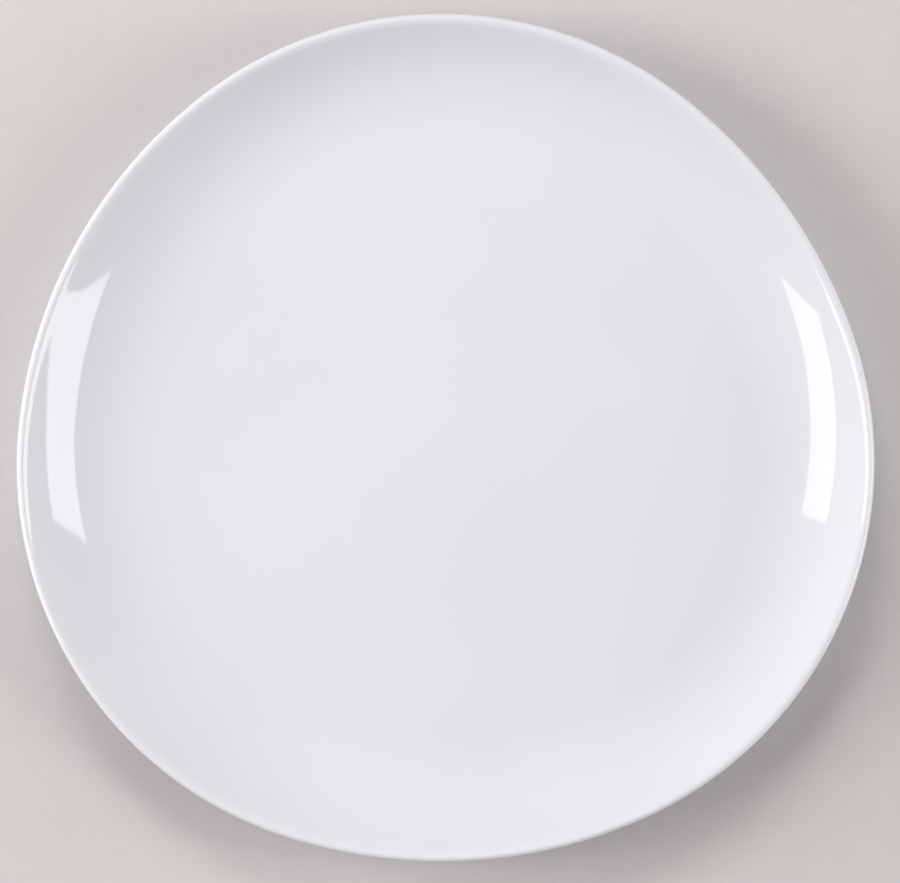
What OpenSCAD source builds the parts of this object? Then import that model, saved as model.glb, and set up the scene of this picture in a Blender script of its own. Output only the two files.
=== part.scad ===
// Coupe dinner plate in glazed porcelain, with a soft three-lobed outline.
// Origin: on the table, under the middle of the plate's overall width and depth. +Z is up.

/* [Outline] */
// Overall width, left to right
plate_w = 270; // [220:1:320]
// Distance, left to right, between the centres of the two lower lobes
lobe_spread = 24; // [8:1:40]
// Direction that the upper right side faces, in degrees
upper_right_facing = 36; // [30:1:42]
// Part of a turn that the upper right side takes up, in degrees
upper_right_span = 32; // [24:2:44]
// Direction that the upper left side faces, in degrees
upper_left_facing = 151; // [145:1:157]
// Part of a turn that the upper left side takes up, in degrees
upper_left_span = 46; // [36:2:56]
// Direction that the lower side faces, in degrees
lower_facing = 273; // [267:1:279]
// Part of a turn that the lower side takes up, in degrees
lower_span = 42; // [32:2:52]

/* [Dish] */
// Overall height, from the table to the top of the lip
plate_h = 22; // [18:0.5:30]
// Thickness of the floor
floor_t = 4.4; // [3:0.1:6]
// Width of the curved wall seen from above, from the lip to the flat well
wall_w = 36; // [28:1:46]
// How much narrower the curve of the back is than the curve of the wall
back_set = 1.5; // [0:0.5:4]
// Radius of the rounded lip
lip_r = 1.7; // [1.2:0.1:2.4]

/* [Foot ring] */
// Height of the foot ring, from the table to the underside of the floor
foot_h = 3; // [2:0.5:5]
// Width of the face that rests on the table
foot_w = 5; // [3:0.5:8]
// How far each side of the foot ring flares out from its tip to its root
foot_flare = 1; // [0.2:0.1:2]
// Flat underside left between the curve of the back and the foot ring
foot_gap = 6; // [3:0.5:12]

/* [Glaze] */
// Thickness of the glaze
glaze_t = 0.3; // [0.2:0.05:0.5]
// Height of the bare band at the tip of the foot ring
bare_h = 1; // [0.5:0.1:1.5]

/* [Hidden] */
$fn = 180;

// How far the round lip stands out from the wall and the back, so that their curves cross
lip_proud = 0.02;
// How far cutting shapes run past what they cut
cut_over = 1;
// How far the flat middle laps under the ring of arcs
core_lap = 1;

// Heights
base_z = foot_h;
well_z = foot_h + floor_t;
lip_z = plate_h - lip_r;

// Distances in from the lip
back_w = wall_w - back_set;
foot_out = back_w + foot_gap;
foot_in = foot_out + foot_w + 2 * foot_flare;
foot_mid = (foot_out + foot_in) / 2;

// An arc that leaves a level line and runs up by rise over a width of run to touch a circle just inside
// the lip's own. That circle is outside the wall's arc and inside the back's arc.
bed_r = lip_r - lip_proud;
function to_hundredth(x) = round(x * 100) / 100;
function arc_past_lip(run, rise) = (run * run + rise * rise - bed_r * bed_r) / (2 * (rise + bed_r));
function arc_round_lip(run, rise) = (run * run + rise * rise - bed_r * bed_r) / (2 * (rise - bed_r));
wall_r = to_hundredth(arc_past_lip(wall_w - lip_r, lip_z - well_z));
back_r = to_hundredth(arc_round_lip(back_w - lip_r, lip_z - base_z));
wall_c = [-wall_w, well_z + wall_r];
back_c = [-back_w, base_z + back_r];
lip_c = [-lip_r, lip_z];

// Outline: three flatter sides and three equal lobes, all arcs that touch their neighbours.
// The lobes' centres are the corners of a triangle whose sides face the way the plate's sides do.
facing = [upper_right_facing, upper_left_facing, lower_facing];
span = [upper_right_span, upper_left_span, lower_span];
function turn(from, to) = (to - from + 360) % 360;
function direction(a) = [cos(a), sin(a)];
lobe_r = (plate_w - lobe_spread) / 2;
// Sides of the triangle of lobe centres, by the sine rule
share = [for (i = [0:2]) sin(turn(facing[(i + 1) % 3], facing[(i + 2) % 3]))];
triangle = lobe_spread / (share[2] * abs(sin(facing[2]))) * share;
arc_r = [for (i = [0:2]) each [lobe_r + triangle[i] / (2 * sin(span[i] / 2)), lobe_r]];
arc_from = [for (i = [0:2]) each [facing[i] - span[i] / 2, facing[i] + span[i] / 2]];
arc_turn = [for (i = [0:5]) turn(arc_from[i], arc_from[(i + 1) % 6])];

// Centres of the arcs, each on the line through its neighbour's centre and their shared end
function chain(i) = i == 0 ? [0, 0] : chain(i - 1) + (arc_r[i - 1] - arc_r[i]) * direction(arc_from[i]);
chained = [for (i = [0:5]) chain(i)];
function arc_at(a) = [for (i = [0:5]) if (turn(arc_from[i], a) < arc_turn[i]) i][0];
function reach(a) = chained[arc_at(a)] * direction(a) + arc_r[arc_at(a)];
middle = [reach(0) - reach(180), reach(90) - reach(270)] / 2;
arc_c = [for (c = chained) c - middle];

// The flat middle is a disc that stays inside the foot ring and laps under the ring of arcs
farthest = max([for (i = [1, 3, 5]) norm(arc_c[i]) + lobe_r]);
nearest = min([for (i = [0, 2, 4]) arc_r[i] - norm(arc_c[i])]);
core_r = nearest - foot_in - core_lap;
core_in = farthest - core_r + core_lap;

// Moves by hundredths of a millimetre and then by the rest, so that neighbouring arcs meet exactly
module place(p) {
    coarse = [for (x = p) to_hundredth(x)];
    translate(coarse)
        translate(p - coarse)
            children();
}

// Cross-section. x runs outwards to the lip's edge at 0, and y is the height.

// All that is above the underside of the floor and the back, set in by depth
module above_back(depth) {
    place([-core_in, base_z + depth])
        square([core_in - back_w, plate_h]);
    place(back_c)
        circle(r = back_r - depth);
}

// All that is above the well and the wall, set in by depth
module above_dish(depth) {
    place([-core_in - cut_over, well_z - depth])
        square([core_in + cut_over - wall_w, plate_h]);
    place(wall_c)
        circle(r = wall_r + depth);
}

// All that is on the inner side of the line from the wall's centre through the lip's
module before_lip() {
    along = (lip_c - wall_c) / norm(lip_c - wall_c);
    past = wall_c + along * (wall_r + 2 * floor_t);
    left = -core_in - cut_over;
    polygon([[left, 0], [past.x, 0], past, wall_c, [left, wall_c.y]]);
}

module foot_section(depth) {
    tip = [-foot_in + foot_flare + depth, -foot_out - foot_flare - depth];
    root = [-foot_in + depth, -foot_out - depth];
    root_z = base_z + floor_t / 2;
    polygon([
        [tip[0], 0],
        [tip[1], 0],
        [root[1], base_z],
        [root[1], root_z],
        [root[0], root_z],
        [root[0], base_z]
    ]);
}

// The whole plate with its surface set in by depth, except at the tip of the foot ring
module plate_section(depth) {
    difference() {
        intersection() {
            above_back(depth);
            before_lip();
        }
        above_dish(depth);
    }
    place(lip_c)
        circle(r = lip_r - depth);
    foot_section(depth);
}

// The clay body, which comes out to the full surface on the bare tip of the foot ring
module body_section() {
    plate_section(glaze_t);
    intersection() {
        foot_section(0);
        translate([-core_in, 0])
            square([core_in, bare_h]);
    }
}

// The underside within the foot ring
module within_foot() {
    translate([-core_in - cut_over, 0])
        square([core_in + cut_over - foot_mid, base_z + floor_t / 2]);
}

module glaze_section() {
    difference() {
        plate_section(0);
        body_section();
    }
}

module coat_section() {
    difference() {
        glaze_section();
        within_foot();
    }
}

module base_section() {
    intersection() {
        glaze_section();
        within_foot();
    }
}

// Carries a cross-section round the outline, and fills the flat middle between two heights
module plate_round(low, high) {
    for (i = [0:5])
        place(arc_c[i])
            rotate_extrude(start = arc_from[i], angle = arc_turn[i])
                place([arc_r[i], 0])
                    children();
    translate([0, 0, low])
        cylinder(r = core_r, h = high - low);
}

module porcelain_body() {
    color("#efe9df")
        plate_round(base_z + glaze_t, well_z - glaze_t)
            body_section();
}

module glaze_coat() {
    color("#f4f4f7")
        plate_round(well_z - glaze_t, well_z)
            coat_section();
}

module base_glaze() {
    color("#eeeef2")
        plate_round(base_z, base_z + glaze_t)
            base_section();
}

porcelain_body();
glaze_coat();
base_glaze();
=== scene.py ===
from math import acos, atan2, ceil, cos, pi, radians, sin, tan, tau
from typing import NamedTuple

import bmesh
import bpy
from bpy.props import FloatProperty, FloatVectorProperty, PointerProperty
from mathutils import Matrix, Vector


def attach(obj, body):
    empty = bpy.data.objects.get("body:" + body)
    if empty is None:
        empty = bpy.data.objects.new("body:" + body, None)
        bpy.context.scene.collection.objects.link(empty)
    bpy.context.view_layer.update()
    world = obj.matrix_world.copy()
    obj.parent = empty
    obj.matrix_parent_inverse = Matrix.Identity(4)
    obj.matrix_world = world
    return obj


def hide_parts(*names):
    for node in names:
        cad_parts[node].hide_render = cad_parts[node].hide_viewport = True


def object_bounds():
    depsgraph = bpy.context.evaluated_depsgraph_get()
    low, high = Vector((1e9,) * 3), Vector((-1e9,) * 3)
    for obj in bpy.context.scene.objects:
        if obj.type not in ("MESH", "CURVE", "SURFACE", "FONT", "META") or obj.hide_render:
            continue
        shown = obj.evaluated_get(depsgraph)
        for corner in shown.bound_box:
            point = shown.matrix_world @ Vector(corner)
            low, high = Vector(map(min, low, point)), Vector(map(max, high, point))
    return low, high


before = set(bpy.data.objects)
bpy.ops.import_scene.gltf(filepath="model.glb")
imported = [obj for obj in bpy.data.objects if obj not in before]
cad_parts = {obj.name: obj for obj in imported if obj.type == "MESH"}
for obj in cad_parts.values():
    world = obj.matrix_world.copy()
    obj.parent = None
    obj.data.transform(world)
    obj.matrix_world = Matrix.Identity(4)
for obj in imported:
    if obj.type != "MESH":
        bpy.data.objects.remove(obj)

bl_info = {
    "name": "Coupe Dinner Plate",
    "version": (1, 0, 0),
    "blender": (4, 5, 0),
    "location": "3D View > Sidebar > Plate",
    "description": "Models a glazed porcelain coupe plate with a soft three-lobed outline",
    "category": "Add Mesh",
}

# The solid plate's box, in metres
SOLID_LOW, SOLID_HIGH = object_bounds()
SOLID_SIZE = SOLID_HIGH - SOLID_LOW

# A millimetre, in metres
MM = 0.001
# Width and height of the picture, in pixels
PICTURE = Vector((900, 883))

# Longest steps round the outline, along a section and round a tight curve of it
TURN_STEP = radians(1.5)
SECTION_STEP = 1.1 * MM
TIGHT_STEP = radians(6)
# Widths of the rings of faces in the flat middle, from the outside in
MIDDLE_RINGS = (18 * MM, 18 * MM, 18 * MM)
# Points closer than this are one point, and heights closer than this are level
WELD = 0.001 * MM
SAME_HEIGHT = 0.02 * MM
# Corners sharper than this are where a skin of glaze ends, and get this many faces across
SHARP_ANGLE = radians(50)
EDGE_FACES = 3
# Faces that meet at less than this are shaded as one surface
SMOOTH_ANGLE = radians(40)
FLOOR_SIDES = 96

# Parts of a noise's range over which a pattern goes from its first value to its second
CLOUDY = (0.35, 0.65)
SPARSE = (0.45, 0.8)
EVEN = (0.3, 0.7)
# Places of a mix node's colours among its inputs, and of the mixed colour among its outputs
MIX_FIRST, MIX_SECOND, MIX_RESULT = 6, 7, 2


# Sizes, finishes and studio settings


def number(name, description, default, **kind):
    return FloatProperty(name=name, description=description, default=default, **kind)


def vector(name, description, default, **kind):
    return FloatVectorProperty(name=name, description=description, default=default, **kind)


def length(name, description, default):
    return number(name, description, default, unit="LENGTH", precision=5)


def angle(name, description, degrees):
    return number(name, description, radians(degrees), subtype="ANGLE")


def share(name, description, default):
    return number(name, description, default, subtype="FACTOR", min=0, max=1)


def glow(name, description, default):
    return number(name, description, default, min=0)


def power(name, description, watts):
    return number(name, description, watts, unit="POWER")


def colour(name, description, default):
    return vector(name, description, default, subtype="COLOR", min=0, max=1)


def place(name, description, default):
    return vector(name, description, default, subtype="TRANSLATION")


class PlateSizes(bpy.types.PropertyGroup):
    """Sizes of the plate"""

    width: length("Width", "Overall width, left to right", SOLID_SIZE.x)
    height: length("Height", "From the table to the top of the lip", SOLID_SIZE.z)
    lobe_spread: length("Lobe spread", "Distance between the centres of the two lower lobes", 24 * MM)
    upper_right_facing: angle("Upper right facing", "Direction that the upper right side faces", 36)
    upper_right_span: angle("Upper right span", "Part of a turn that the upper right side takes up", 32)
    upper_left_facing: angle("Upper left facing", "Direction that the upper left side faces", 151)
    upper_left_span: angle("Upper left span", "Part of a turn that the upper left side takes up", 46)
    lower_facing: angle("Lower facing", "Direction that the lower side faces", 273)
    lower_span: angle("Lower span", "Part of a turn that the lower side takes up", 42)
    floor_thickness: length("Floor thickness", "Thickness of the floor", 4.4 * MM)
    wall_width: length("Wall width", "From the lip to the flat well, seen from above", 36 * MM)
    back_set: length("Back set", "How much narrower the back's curve is than the wall's", 1.5 * MM)
    lip_radius: length("Lip radius", "Radius of the rounded lip", 1.4 * MM)
    shoulder_radius: length("Shoulder radius", "Radius of the roll from the wall into the lip", 6 * MM)
    shoulder_lean: angle("Shoulder lean", "Slope at which the lip takes over from the shoulder", 22.5)
    flank_radius: length("Flank radius", "Radius of the straighter wall below the shoulder", 150 * MM)
    flank_slope: angle("Flank slope", "Slope at which the flank takes over from the wall's curve", 38.2)
    foot_height: length("Foot height", "From the table to the underside of the floor", 3 * MM)
    foot_width: length("Foot width", "Width of the face that rests on the table", 5 * MM)
    foot_flare: length("Foot flare", "How far each side of the foot flares from tip to root", 1 * MM)
    foot_gap: length("Foot gap", "Flat underside between the back's curve and the foot", 6 * MM)
    foot_fillet: length("Foot fillet", "Radius of the glaze in the corner at the foot's root", 1.2 * MM)
    foot_edge: length("Foot edge", "Radius of the sponged edges of the foot's tip", 0.6 * MM)
    glaze_thickness: length("Glaze thickness", "Thickness of the glaze", 0.3 * MM)
    bare_height: length("Bare height", "Height of the bare band at the tip of the foot", 1 * MM)
    glaze_edge: length("Glaze edge", "Radius of the melted edge where the glaze ends", 0.1 * MM)
    glaze_seat: length("Glaze seat", "Hair's breadth left between the body and the glaze", 0.01 * MM)
    middle_inset: length("Middle inset", "From the lip to the faces that fill the middle", 60 * MM)


class PlateFinish(bpy.types.PropertyGroup):
    """Finishes of the plate"""

    glaze_colour: colour("Glaze", "White of the glazed porcelain", (0.775, 0.768, 0.81))
    glaze_shade: colour("Glaze shade", "Deeper white where the glaze lies thicker", (0.76, 0.755, 0.80))
    lip_colour: colour("Lip", "White of the lip, where the glaze has run thin", (0.785, 0.775, 0.81))
    pool_colour: colour("Pool", "Tint of the glaze pooled in the foot's corners", (0.70, 0.73, 0.76))
    cloud_size: length("Cloud size", "Size of the patches of deeper white", 55 * MM)
    refraction: number("Refraction", "Index of refraction of the glaze", 1.55, min=1)
    gloss: share("Gloss", "Roughness of the glaze where it is smoothest", 0.045)
    haze: share("Haze", "Roughness of the glaze where use has dulled it", 0.085)
    haze_size: length("Haze size", "Size of the patches that use has dulled", 14 * MM)
    ripple: length("Ripple", "Height of the slow unevenness of the glaze", 0.05 * MM)
    ripple_size: length("Ripple size", "Size of the slow unevenness of the glaze", 45 * MM)
    peel: length("Peel", "Height of the fine dimpling of the glaze", 0.002 * MM)
    peel_size: length("Peel size", "Size of the fine dimpling of the glaze", 3 * MM)
    bisque_colour: colour("Bisque", "Bare fired porcelain", (0.76, 0.71, 0.64))
    bisque_shade: colour("Bisque shade", "Greyer bisque where it has slid over tables", (0.56, 0.53, 0.49))
    bisque_patch: length("Bisque patch", "Size of the paler patches of the bisque", 12 * MM)
    bisque_finest: share("Bisque finest", "Roughness of the bisque where it is finest", 0.6)
    bisque_coarsest: share("Bisque coarsest", "Roughness of the bisque where it is coarsest", 0.85)
    grain: length("Grain", "Height of the bisque's grain", 0.03 * MM)
    grain_size: length("Grain size", "Size of the bisque's grain", 0.8 * MM)
    wear: share("Wear", "How far the face that rests on the table is greyed", 0.6)
    wear_height: length("Wear height", "Height up to which the tip of the foot is greyed", 0.24 * MM)


class StudioSettings(bpy.types.PropertyGroup):
    """Camera, lamps and floor"""

    camera_height: length("Camera height", "From the table to the camera", 1.3)
    plate_pixels: number("Plate pixels", "Width of the plate in the picture", 857.7, min=1)
    middle_pixels: vector(
        "Middle pixels", "The plate's middle, from the picture's upper left corner", (445.6, 437.8), size=2
    )
    left_upper_front: place("Left upper front", "Corner of the left softbox", (-1.463, -0.826, 1.168))
    left_upper_back: place("Left upper back", "Corner of the left softbox", (-1.146, 0.170, 1.844))
    left_lower_front: place("Left lower front", "Corner of the left softbox", (-1.861, -0.819, 0.721))
    left_lower_back: place("Left lower back", "Corner of the left softbox", (-1.714, 0.295, 1.241))
    left_glow: glow("Left glow", "Brightness of the left softbox", 4.2)
    right_upper_front: place("Right upper front", "Corner of the right softbox", (1.459, -0.784, 1.215))
    right_upper_back: place("Right upper back", "Corner of the right softbox", (1.322, 0.308, 1.706))
    right_lower_front: place("Right lower front", "Corner of the right softbox", (1.951, -0.826, 0.544))
    right_lower_back: place("Right lower back", "Corner of the right softbox", (1.892, 0.269, 0.932))
    right_glow: glow("Right glow", "Brightness of the right softbox", 5.0)
    left_fill: place("Left fill", "Middle of the fill lamp on the left", (-1.469, 0.206, 0.599))
    left_fill_size: length("Left fill size", "Width and height of the fill lamp on the left", 0.8)
    left_fill_power: power("Left fill power", "Power of the fill lamp on the left", 17.6)
    back_fill: place("Back fill", "Middle of the fill lamp at the back", (-0.196, 1.114, 1.131))
    back_fill_size: length("Back fill size", "Width and height of the fill lamp at the back", 0.6)
    back_fill_power: power("Back fill power", "Power of the fill lamp at the back", 7.9)
    right_fill: place("Right fill", "Middle of the fill lamp on the right", (2.338, 0.0, 0.540))
    right_fill_size: length("Right fill size", "Width and height of the fill lamp on the right", 0.6)
    right_fill_power: power("Right fill power", "Power of the fill lamp on the right", 14.5)
    room_light: glow("Room light", "Brightness of the room all round", 0.19)
    backdrop: colour("Backdrop", "Pale grey that the camera sees past the floor", (0.72, 0.70, 0.69))
    floor_radius: length("Floor radius", "From the middle of the floor to its edge", 4.0)
    floor_colour: colour("Floor", "Pale warm grey of the floor", (0.646, 0.62, 0.61))
    floor_shade: colour("Floor shade", "Slightly deeper grey of the floor", (0.63, 0.604, 0.594))
    floor_mottle: length("Floor mottle", "Size of the mottle on the floor", 9 * MM)
    floor_roughness: share("Floor roughness", "Roughness of the floor", 0.8)
    floor_sheen: share("Floor sheen", "How much light glances off the floor", 0.25)


# Outline: three flatter sides and three equal lobes, all arcs that touch their neighbours


class Arc(NamedTuple):
    """An arc of the plate's outline, seen from above"""

    centre: Vector
    radius: float
    start: float
    sweep: float


def turn(start, end):
    """How far round to the left it is from one direction to another."""
    return (end - start) % tau


def towards(direction):
    """A step of length 1 in a direction."""
    return Vector((cos(direction), sin(direction)))


def outline_arcs(sizes):
    """The arcs in order, with the outline's box centred on the origin and the last arc facing +X."""
    facing = (sizes.upper_right_facing, sizes.upper_left_facing, sizes.lower_facing)
    span = (sizes.upper_right_span, sizes.upper_left_span, sizes.lower_span)
    lobe_radius = (sizes.width - sizes.lobe_spread) / 2
    # The lobes' centres are the corners of a triangle, whose sides follow from the sine rule
    sine = [sin(turn(facing[(i + 1) % 3], facing[(i + 2) % 3])) for i in range(3)]
    triangle = [sizes.lobe_spread * s / (sine[2] * abs(sin(facing[2]))) for s in sine]
    radii, starts = [], []
    for i in range(3):
        radii += [lobe_radius + triangle[i] / (2 * sin(span[i] / 2)), lobe_radius]
        starts += [facing[i] - span[i] / 2, facing[i] + span[i] / 2]
    centres = [Vector((0, 0))]
    for i in range(1, 6):
        centres.append(centres[-1] + (radii[i - 1] - radii[i]) * towards(starts[i]))
    arcs = [Arc(centres[i], radii[i], starts[i], turn(starts[i], starts[(i + 1) % 6])) for i in range(6)]
    middle = Vector((reach(arcs, 0) - reach(arcs, pi), reach(arcs, pi / 2) - reach(arcs, -pi / 2))) / 2
    return [arc._replace(centre=arc.centre - middle) for arc in arcs]


def reach(arcs, direction):
    """How far the outline reaches in a direction."""
    arc = next(arc for arc in arcs if turn(arc.start, direction) < arc.sweep)
    return arc.centre.dot(towards(direction)) + arc.radius


def lip_edge(arcs):
    """The point of the outline that faces +X, where every section is drawn."""
    lobe = arcs[-1]
    return Vector((lobe.centre.x + lobe.radius, lobe.centre.y, 0))


def round_trip(arcs):
    """Centres and turns that carry a section once round the outline, from +X."""
    lobe = arcs[-1]
    ahead = turn(0, arcs[0].start)
    yield lobe.centre, ahead
    for arc in arcs[:-1]:
        yield arc.centre, arc.sweep
    yield lobe.centre, lobe.sweep - ahead


# Sections: x runs outwards to the lip's edge at 0, and the second value is the height


class Line(NamedTuple):
    """A straight move of the pen to a point"""

    end: Vector


class Bow(NamedTuple):
    """A move of the pen round a centre, positive to the left"""

    centre: Vector
    turn: float


def point(x, z):
    return Vector((x, z))


def heights(sizes):
    """Heights of the underside of the floor and of the well."""
    return sizes.foot_height, sizes.foot_height + sizes.floor_thickness


def dish_path(sizes, depth):
    """From the middle of the well up the wall, over the lip and down the back, set in by depth."""
    base_z, well_z = heights(sizes)
    lip = point(-sizes.lip_radius, sizes.height - sizes.lip_radius)
    lean = sizes.shoulder_lean
    shoulder_to_lip = sizes.shoulder_radius - sizes.lip_radius
    shoulder = lip + shoulder_to_lip * point(sin(lean), -cos(lean))

    # The wall leaves the level well and runs on into the flank, which touches the shoulder's circle from
    # outside at the steepest slope
    half = sizes.flank_slope / 2
    flank_to_shoulder = sizes.flank_radius + sizes.shoulder_radius
    run, drop = shoulder.x + sizes.wall_width, well_z + sizes.flank_radius - shoulder.y
    steepest = half + acos((drop * cos(half) + run * sin(half)) / flank_to_shoulder)
    flank = shoulder + flank_to_shoulder * point(-sin(steepest), cos(steepest))
    wall = flank + (sizes.wall_width + flank.x) * point(-1, 1 / tan(sizes.flank_slope))

    # The back leaves the level underside and touches the lip's circle from inside
    back_width = sizes.wall_width - sizes.back_set
    run, rise = lip.x + back_width, lip.y - base_z
    back_radius = (run**2 + rise**2 - sizes.lip_radius**2) / (2 * (rise - sizes.lip_radius))
    back = point(-back_width, base_z + back_radius)
    overhang = atan2(back.y - lip.y, run)

    return [
        Line(point(-sizes.middle_inset, well_z - depth)),
        Line(point(-sizes.wall_width, well_z - depth)),
        Bow(wall, sizes.flank_slope),
        Bow(flank, steepest - sizes.flank_slope),
        Bow(shoulder, lean - steepest),
        Bow(lip, -(pi / 2 + lean + overhang)),
        Bow(back, overhang - pi / 2),
    ]


def foot_sides(sizes, depth):
    """Functions for the x of the outer and the inner side of the foot at a height, set in by depth."""
    outer_root = -(sizes.wall_width - sizes.back_set + sizes.foot_gap)
    inner_root = outer_root - sizes.foot_width - 2 * sizes.foot_flare
    slope = sizes.foot_flare / sizes.foot_height

    def outer(z):
        return outer_root - depth - slope * (sizes.foot_height - z)

    def inner(z):
        return inner_root + depth + slope * (sizes.foot_height - z)

    return outer, inner


def rounded(before, corner, after, radius):
    """Moves that reach a corner from before, and round it off on the way to after."""
    back, on = (before - corner).normalized(), (after - corner).normalized()
    half = back.angle(on) / 2
    start = corner + back * radius / tan(half)
    centre = corner + (back + on).normalized() * radius / sin(half)
    side = 1 if back.cross(on) < 0 else -1
    return [Line(start), Bow(centre, side * (pi - 2 * half))]


def foot_outside(sizes, depth, end_z):
    """From the flat underside round the fillet and down the outer side of the foot."""
    base_z = sizes.foot_height + depth
    outer, _ = foot_sides(sizes, depth)
    before = point(outer(base_z) + sizes.foot_gap, base_z)
    corner = point(outer(base_z), base_z)
    end = point(outer(end_z), end_z)
    return rounded(before, corner, end, sizes.foot_fillet + depth) + [Line(end)]


def foot_inside(sizes, depth, start_z):
    """From the inner side of the foot round the fillet and over the underside to the middle."""
    base_z = sizes.foot_height + depth
    _, inner = foot_sides(sizes, depth)
    start = point(inner(start_z), start_z)
    corner = point(inner(base_z), base_z)
    end = point(-sizes.middle_inset, base_z)
    return [Line(start)] + rounded(start, corner, end, sizes.foot_fillet + depth) + [Line(end)]


def foot_tip(sizes, depth):
    """Round the two edges of the foot's tip."""
    outer, inner = foot_sides(sizes, depth)
    bare_z = sizes.bare_height
    above_outer, outer_tip = point(outer(bare_z), bare_z), point(outer(0), 0)
    above_inner, inner_tip = point(inner(bare_z), bare_z), point(inner(0), 0)
    outer_edge = rounded(above_outer, outer_tip, inner_tip, sizes.foot_edge)
    inner_edge = rounded(outer_tip, inner_tip, above_inner, sizes.foot_edge)
    return outer_edge + inner_edge


# Modelling with Blender's own tools


def start_piece(name, start):
    """Adds a new mesh of one vertex and goes to edit mode."""
    bpy.ops.object.select_all(action="DESELECT")
    bpy.ops.mesh.primitive_plane_add(size=MM, location=start)
    piece = bpy.context.object
    piece.name = piece.data.name = name
    bpy.ops.object.transform_apply(location=True, rotation=True, scale=True)
    bpy.ops.object.mode_set(mode="EDIT")
    bpy.ops.mesh.select_mode(type="VERT")
    bpy.ops.mesh.select_all(action="SELECT")
    bpy.ops.mesh.merge(type="CENTER")
    return piece


def draw_section(name, edge, path):
    """Draws a section through the lip's edge: lines are extruded and arcs are spun from one vertex."""
    pen = path[0].end
    piece = start_piece(name, edge + Vector((pen.x, 0, pen.y)))
    for move in path[1:]:
        if isinstance(move, Line):
            step = move.end - pen
            bpy.ops.mesh.extrude_region_move(TRANSFORM_OT_translate={"value": (step.x, 0, step.y)})
            pen = move.end
        else:
            arm = pen - move.centre
            sweep = abs(move.turn)
            bpy.ops.mesh.spin(
                steps=max(ceil(arm.length * sweep / SECTION_STEP), ceil(sweep / TIGHT_STEP)),
                angle=move.turn,
                center=edge + Vector((move.centre.x, 0, move.centre.y)),
                axis=(0, 1, 0),
            )
            pen = move.centre + Matrix.Rotation(move.turn, 2) @ arm
    return piece


def carry_round(arcs):
    """Spins the section about one arc's centre after the other, and closes the seam."""
    bpy.ops.mesh.select_all(action="SELECT")
    for centre, sweep in round_trip(arcs):
        bpy.ops.mesh.spin(
            steps=ceil(sweep / TURN_STEP),
            angle=sweep,
            center=(centre.x, centre.y, 0),
            axis=(0, 0, -1),
        )
    bpy.ops.mesh.select_all(action="SELECT")
    bpy.ops.mesh.remove_doubles(threshold=WELD)


def fill_middle(piece, height):
    """Closes the open loop at a height with rings of faces round a pole."""
    bpy.ops.mesh.select_mode(type="EDGE")
    bpy.ops.mesh.select_all(action="DESELECT")
    mesh = bmesh.from_edit_mesh(piece.data)
    for edge in mesh.edges:
        level = all(abs(vertex.co.z - height) < SAME_HEIGHT for vertex in edge.verts)
        edge.select_set(edge.is_boundary and level)
    bmesh.update_edit_mesh(piece.data)
    bpy.ops.mesh.edge_face_add()
    bpy.ops.mesh.select_mode(type="FACE")
    for ring in MIDDLE_RINGS:
        bpy.ops.mesh.inset(thickness=ring)
    bpy.ops.mesh.poke()


def face_outwards(hollow=False):
    """Turns all faces to the outside, or to the inside of a skin that is seen from its hollow side."""
    bpy.ops.mesh.select_all(action="SELECT")
    bpy.ops.mesh.normals_make_consistent(inside=hollow)
    bpy.ops.object.mode_set(mode="OBJECT")


def give_thickness(piece, thickness):
    """Thickens a skin inwards."""
    bpy.ops.object.modifier_add(type="SOLIDIFY")
    solidify = piece.modifiers[-1]
    solidify.thickness = thickness
    solidify.offset = -1
    solidify.use_even_offset = True
    bpy.ops.object.modifier_apply(modifier=solidify.name)


def round_sharp_edges(piece, radius):
    """Rounds the edges where the skin ends."""
    bpy.ops.object.modifier_add(type="BEVEL")
    bevel = piece.modifiers[-1]
    bevel.width = radius
    bevel.segments = EDGE_FACES
    bevel.limit_method = "ANGLE"
    bevel.angle_limit = SHARP_ANGLE
    bpy.ops.object.modifier_apply(modifier=bevel.name)


def hand_over(piece, material):
    """Finishes a piece: smooth shading, its material, and its place in the frame."""
    bpy.ops.object.shade_smooth_by_angle(angle=SMOOTH_ANGLE)
    piece.data.materials.append(material)
    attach(piece, "root")
    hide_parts(piece.name.removesuffix("_piece"))


# Materials


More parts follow.
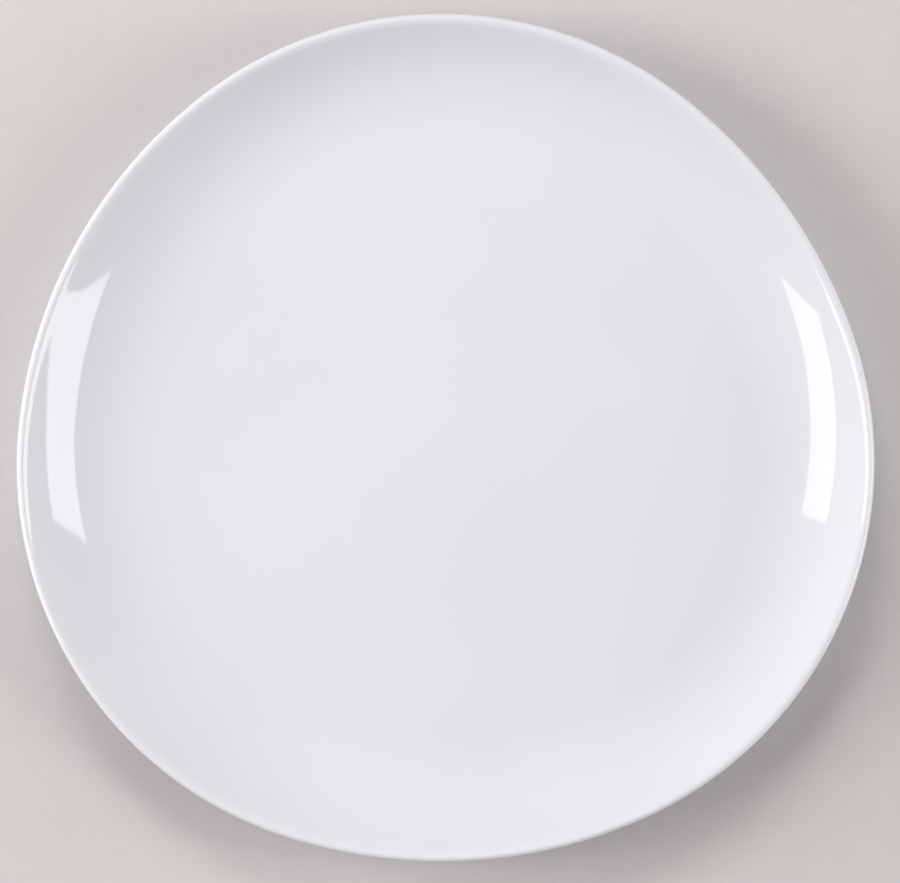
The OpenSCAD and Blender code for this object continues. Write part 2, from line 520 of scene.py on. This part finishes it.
class Nodes:
    """A new material with a principled shader, and short calls to add and link its nodes"""

    def __init__(self, name):
        self.material = bpy.data.materials.new(name)
        self.material.use_nodes = True
        self.tree = self.material.node_tree
        self.shader = self.tree.nodes["Principled BSDF"]
        self.where = self.add("ShaderNodeTexCoord").outputs["Object"]

    def add(self, kind, **values):
        node = self.tree.nodes.new(kind)
        for name, value in values.items():
            setattr(node, name, value)
        return node

    def link(self, output, node, socket):
        self.tree.links.new(output, node.inputs[socket])

    def noise(self, size, detail=2.0, roughness=0.5):
        """Cloudy noise with features of about a size."""
        node = self.add("ShaderNodeTexNoise")
        node.inputs["Scale"].default_value = 1 / size
        node.inputs["Detail"].default_value = detail
        node.inputs["Roughness"].default_value = roughness
        self.link(self.where, node, "Vector")
        return node.outputs["Fac"]

    def ramp(self, value, low, high, to_low=0.0, to_high=1.0):
        """A value from low to high, smoothly brought to another range."""
        node = self.add("ShaderNodeMapRange", interpolation_type="SMOOTHSTEP")
        limits = {"From Min": low, "From Max": high, "To Min": to_low, "To Max": to_high}
        for socket, limit in limits.items():
            node.inputs[socket].default_value = limit
        self.link(value, node, "Value")
        return node.outputs["Result"]

    def height(self):
        """Height above the table."""
        node = self.add("ShaderNodeSeparateXYZ")
        self.link(self.where, node, "Vector")
        return node.outputs["Z"]

    def blend(self, factor, first, second):
        """A colour between two, of which the first may be another node's output."""
        node = self.add("ShaderNodeMix", data_type="RGBA")
        self.link(factor, node, "Factor")
        if isinstance(first, bpy.types.NodeSocket):
            self.link(first, node, MIX_FIRST)
        else:
            node.inputs[MIX_FIRST].default_value = (*first, 1)
        node.inputs[MIX_SECOND].default_value = (*second, 1)
        return node.outputs[MIX_RESULT]

    def bump(self, relief, distance, below=None):
        """A normal from a relief, on top of another bump's normal."""
        node = self.add("ShaderNodeBump")
        node.inputs["Distance"].default_value = distance
        self.link(relief, node, "Height")
        if below:
            self.link(below, node, "Normal")
        return node.outputs["Normal"]


def glaze_material(name, finish, sizes):
    """Clear gloss glaze on white porcelain, uneven by a hair, thin on the lip and pooled at the foot."""
    nodes = Nodes(name)
    clouds = nodes.ramp(nodes.noise(finish.cloud_size), *CLOUDY)
    tone = nodes.blend(clouds, finish.glaze_colour, finish.glaze_shade)
    near_lip = nodes.ramp(nodes.height(), sizes.height - 2 * sizes.lip_radius, sizes.height)
    tone = nodes.blend(near_lip, tone, finish.lip_colour)
    near_foot = nodes.ramp(nodes.height(), sizes.foot_height, sizes.bare_height)
    tone = nodes.blend(near_foot, tone, finish.pool_colour)
    nodes.link(tone, nodes.shader, "Base Color")
    dulled = nodes.ramp(nodes.noise(finish.haze_size, detail=6), *SPARSE, finish.gloss, finish.haze)
    nodes.link(dulled, nodes.shader, "Roughness")
    nodes.shader.inputs["IOR"].default_value = finish.refraction
    ripple = nodes.bump(nodes.noise(finish.ripple_size, detail=1), finish.ripple)
    peel = nodes.bump(nodes.noise(finish.peel_size, detail=1), finish.peel, ripple)
    nodes.link(peel, nodes.shader, "Normal")
    return nodes.material


def bisque_material(name, finish):
    """Bare fired porcelain: matt and finely grained, greyer on the face that slides over tables."""
    nodes = Nodes(name)
    grain = nodes.noise(finish.grain_size, detail=5, roughness=0.7)
    patches = nodes.ramp(nodes.noise(finish.bisque_patch, detail=3), *EVEN)
    tone = nodes.blend(patches, finish.bisque_colour, finish.glaze_shade)
    worn = nodes.ramp(nodes.height(), finish.wear_height, 0, 0, finish.wear)
    tone = nodes.blend(worn, tone, finish.bisque_shade)
    nodes.link(tone, nodes.shader, "Base Color")
    matt = nodes.ramp(grain, *EVEN, finish.bisque_finest, finish.bisque_coarsest)
    nodes.link(matt, nodes.shader, "Roughness")
    nodes.link(nodes.bump(grain, finish.grain), nodes.shader, "Normal")
    return nodes.material


def floor_material(studio):
    """Pale matt paper with a faint mottle."""
    nodes = Nodes("pale_floor")
    mottle = nodes.ramp(nodes.noise(studio.floor_mottle, detail=8, roughness=0.7), *EVEN)
    nodes.link(nodes.blend(mottle, studio.floor_colour, studio.floor_shade), nodes.shader, "Base Color")
    nodes.shader.inputs["Roughness"].default_value = studio.floor_roughness
    nodes.shader.inputs["Specular IOR Level"].default_value = studio.floor_sheen
    return nodes.material


def softbox_material(name, brightness):
    """The lit cloth of a softbox."""
    material = bpy.data.materials.new(name)
    material.use_nodes = True
    shader = material.node_tree.nodes["Principled BSDF"]
    shader.inputs["Base Color"].default_value = (0, 0, 0, 1)
    shader.inputs["Specular IOR Level"].default_value = 0
    shader.inputs["Emission Color"].default_value = (1, 1, 1, 1)
    shader.inputs["Emission Strength"].default_value = brightness
    return material


def room_world(studio):
    """An even room, with a plain pale backdrop for the camera and for reflections."""
    world = bpy.data.worlds.new("room")
    world.use_nodes = True
    tree = world.node_tree
    room = tree.nodes["Background"]
    room.inputs["Color"].default_value = (1, 1, 1, 1)
    room.inputs["Strength"].default_value = studio.room_light
    backdrop = tree.nodes.new("ShaderNodeBackground")
    backdrop.inputs["Color"].default_value = (*studio.backdrop, 1)
    path = tree.nodes.new("ShaderNodeLightPath")
    seen = path.outputs["Is Camera Ray"]
    for ray in ("Is Glossy Ray", "Is Transmission Ray"):
        either = tree.nodes.new("ShaderNodeMath")
        either.operation = "MAXIMUM"
        tree.links.new(seen, either.inputs[0])
        tree.links.new(path.outputs[ray], either.inputs[1])
        seen = either.outputs[0]
    mix = tree.nodes.new("ShaderNodeMixShader")
    tree.links.new(seen, mix.inputs[0])
    tree.links.new(room.outputs[0], mix.inputs[1])
    tree.links.new(backdrop.outputs[0], mix.inputs[2])
    tree.links.new(mix.outputs[0], tree.nodes["World Output"].inputs["Surface"])
    return world


# Operators, one for each piece and one for the stage


class PLATE_OT_porcelain_body(bpy.types.Operator):
    """Model the fired clay body, with its bare foot"""

    bl_idname = "plate.porcelain_body"
    bl_label = "Porcelain body"
    bl_options = {"REGISTER", "UNDO"}

    def execute(self, context):
        sizes, finish = context.scene.plate_sizes, context.scene.plate_finish
        arcs = outline_arcs(sizes)
        base_z, well_z = heights(sizes)
        depth = sizes.glaze_thickness + sizes.glaze_seat
        path = dish_path(sizes, depth)
        path += foot_outside(sizes, depth, sizes.bare_height)
        path += foot_tip(sizes, depth)
        path += foot_inside(sizes, depth, sizes.bare_height)
        piece = draw_section("porcelain_body_piece", lip_edge(arcs), path)
        carry_round(arcs)
        fill_middle(piece, well_z - depth)
        fill_middle(piece, base_z + depth)
        face_outwards()
        hand_over(piece, bisque_material("bisque_porcelain", finish))
        return {"FINISHED"}


class PLATE_OT_glaze_coat(bpy.types.Operator):
    """Model the skin of glaze from the well over the lip to the outside of the foot"""

    bl_idname = "plate.glaze_coat"
    bl_label = "Glaze coat"
    bl_options = {"REGISTER", "UNDO"}

    def execute(self, context):
        sizes, finish = context.scene.plate_sizes, context.scene.plate_finish
        arcs = outline_arcs(sizes)
        _, well_z = heights(sizes)
        path = dish_path(sizes, 0) + foot_outside(sizes, 0, sizes.bare_height)
        piece = draw_section("glaze_coat_piece", lip_edge(arcs), path)
        carry_round(arcs)
        fill_middle(piece, well_z)
        face_outwards()
        give_thickness(piece, sizes.glaze_thickness)
        round_sharp_edges(piece, sizes.glaze_edge)
        hand_over(piece, glaze_material("gloss_glaze", finish, sizes))
        return {"FINISHED"}


class PLATE_OT_base_glaze(bpy.types.Operator):
    """Model the pool of glaze inside the foot"""

    bl_idname = "plate.base_glaze"
    bl_label = "Base glaze"
    bl_options = {"REGISTER", "UNDO"}

    def execute(self, context):
        sizes, finish = context.scene.plate_sizes, context.scene.plate_finish
        arcs = outline_arcs(sizes)
        base_z, _ = heights(sizes)
        path = foot_inside(sizes, 0, sizes.bare_height)
        piece = draw_section("base_glaze_piece", lip_edge(arcs), path)
        carry_round(arcs)
        fill_middle(piece, base_z)
        face_outwards(hollow=True)
        give_thickness(piece, sizes.glaze_thickness)
        round_sharp_edges(piece, sizes.glaze_edge)
        hand_over(piece, glaze_material("pooled_glaze", finish, sizes))
        return {"FINISHED"}


def add_softbox(name, corners, brightness):
    """A flat light with four corners, which the camera looks past."""
    bpy.ops.object.select_all(action="DESELECT")
    bpy.ops.mesh.primitive_plane_add()
    softbox = bpy.context.object
    softbox.name = softbox.data.name = name
    for vertex, corner in zip(softbox.data.vertices, corners):
        vertex.co = corner
    softbox.data.materials.append(softbox_material(name, brightness))
    softbox.visible_camera = False


def add_fill(name, spot, size, watts):
    """A large square lamp that faces the plate and stays out of its reflections."""
    lamp = bpy.data.lights.new(name, "AREA")
    lamp.size = size
    lamp.energy = watts
    fill = bpy.data.objects.new(name, lamp)
    facing = (-Vector(spot)).to_track_quat("-Z", "Y")
    fill.matrix_world = Matrix.LocRotScale(Vector(spot), facing, None)
    fill.visible_glossy = False
    bpy.context.collection.objects.link(fill)


class PLATE_OT_stage(bpy.types.Operator):
    """Set up the floor, the lamps and the camera"""

    bl_idname = "plate.stage"
    bl_label = "Stage"
    bl_options = {"REGISTER", "UNDO"}

    def execute(self, context):
        scene = context.scene
        scene.view_settings.view_transform = "Standard"
        self.add_floor(scene.plate_studio)
        self.add_lamps(scene.plate_studio)
        scene.world = room_world(scene.plate_studio)
        self.add_camera(scene, scene.plate_sizes, scene.plate_studio)
        return {"FINISHED"}

    def add_floor(self, studio):
        """A wide round floor, level with the foot."""
        bpy.ops.object.select_all(action="DESELECT")
        bpy.ops.mesh.primitive_circle_add(
            vertices=FLOOR_SIDES,
            radius=studio.floor_radius,
            fill_type="NGON",
            location=(0, 0, 0),
        )
        floor = bpy.context.object
        floor.name = floor.data.name = "floor"
        floor.data.materials.append(floor_material(studio))

    def add_lamps(self, studio):
        """Two softboxes, which the wall reflects as two long bands, and three fill lamps."""
        left_corners = (
            studio.left_lower_front,
            studio.left_lower_back,
            studio.left_upper_front,
            studio.left_upper_back,
        )
        right_corners = (
            studio.right_lower_front,
            studio.right_lower_back,
            studio.right_upper_front,
            studio.right_upper_back,
        )
        add_softbox("left_softbox", left_corners, studio.left_glow)
        add_softbox("right_softbox", right_corners, studio.right_glow)
        add_fill("left_fill", studio.left_fill, studio.left_fill_size, studio.left_fill_power)
        add_fill("back_fill", studio.back_fill, studio.back_fill_size, studio.back_fill_power)
        add_fill("right_fill", studio.right_fill, studio.right_fill_size, studio.right_fill_power)

    def add_camera(self, scene, sizes, studio):
        """Looks straight down, with the plate's width and middle where they are in the picture."""
        camera = bpy.data.cameras.new("camera")
        to_lip = studio.camera_height - (sizes.height - sizes.lip_radius)
        camera.lens = studio.plate_pixels / PICTURE.x * camera.sensor_width * to_lip / sizes.width
        pixel = sizes.width / studio.plate_pixels
        off = (PICTURE / 2 - Vector(studio.middle_pixels)) * pixel
        scene.camera = bpy.data.objects.new("camera", camera)
        scene.camera.location = (off.x, -off.y, studio.camera_height)
        bpy.context.collection.objects.link(scene.camera)


class PLATE_PT_sidebar(bpy.types.Panel):
    """Lists the plate's pieces, sizes, finishes and stage"""

    bl_idname = "PLATE_PT_sidebar"
    bl_label = "Coupe Plate"
    bl_space_type = "VIEW_3D"
    bl_region_type = "UI"
    bl_category = "Plate"

    def draw(self, context):
        for operator in OPERATORS:
            self.layout.operator(operator.bl_idname)
        for name in SETTINGS:
            group = getattr(context.scene, name)
            box = self.layout.box()
            for setting in group.__annotations__:
                box.prop(group, setting)


OPERATORS = (PLATE_OT_porcelain_body, PLATE_OT_glaze_coat, PLATE_OT_base_glaze, PLATE_OT_stage)
SETTINGS = {"plate_sizes": PlateSizes, "plate_finish": PlateFinish, "plate_studio": StudioSettings}


def register():
    for kind in (*SETTINGS.values(), *OPERATORS, PLATE_PT_sidebar):
        bpy.utils.register_class(kind)
    for name, group in SETTINGS.items():
        setattr(bpy.types.Scene, name, PointerProperty(type=group))


def unregister():
    for name in SETTINGS:
        delattr(bpy.types.Scene, name)
    for kind in (PLATE_PT_sidebar, *OPERATORS, *SETTINGS.values()):
        bpy.utils.unregister_class(kind)


def main():
    register()
    bpy.ops.plate.porcelain_body()
    bpy.ops.plate.glaze_coat()
    bpy.ops.plate.base_glaze()
    bpy.ops.plate.stage()


if __name__ == "__main__":
    main()
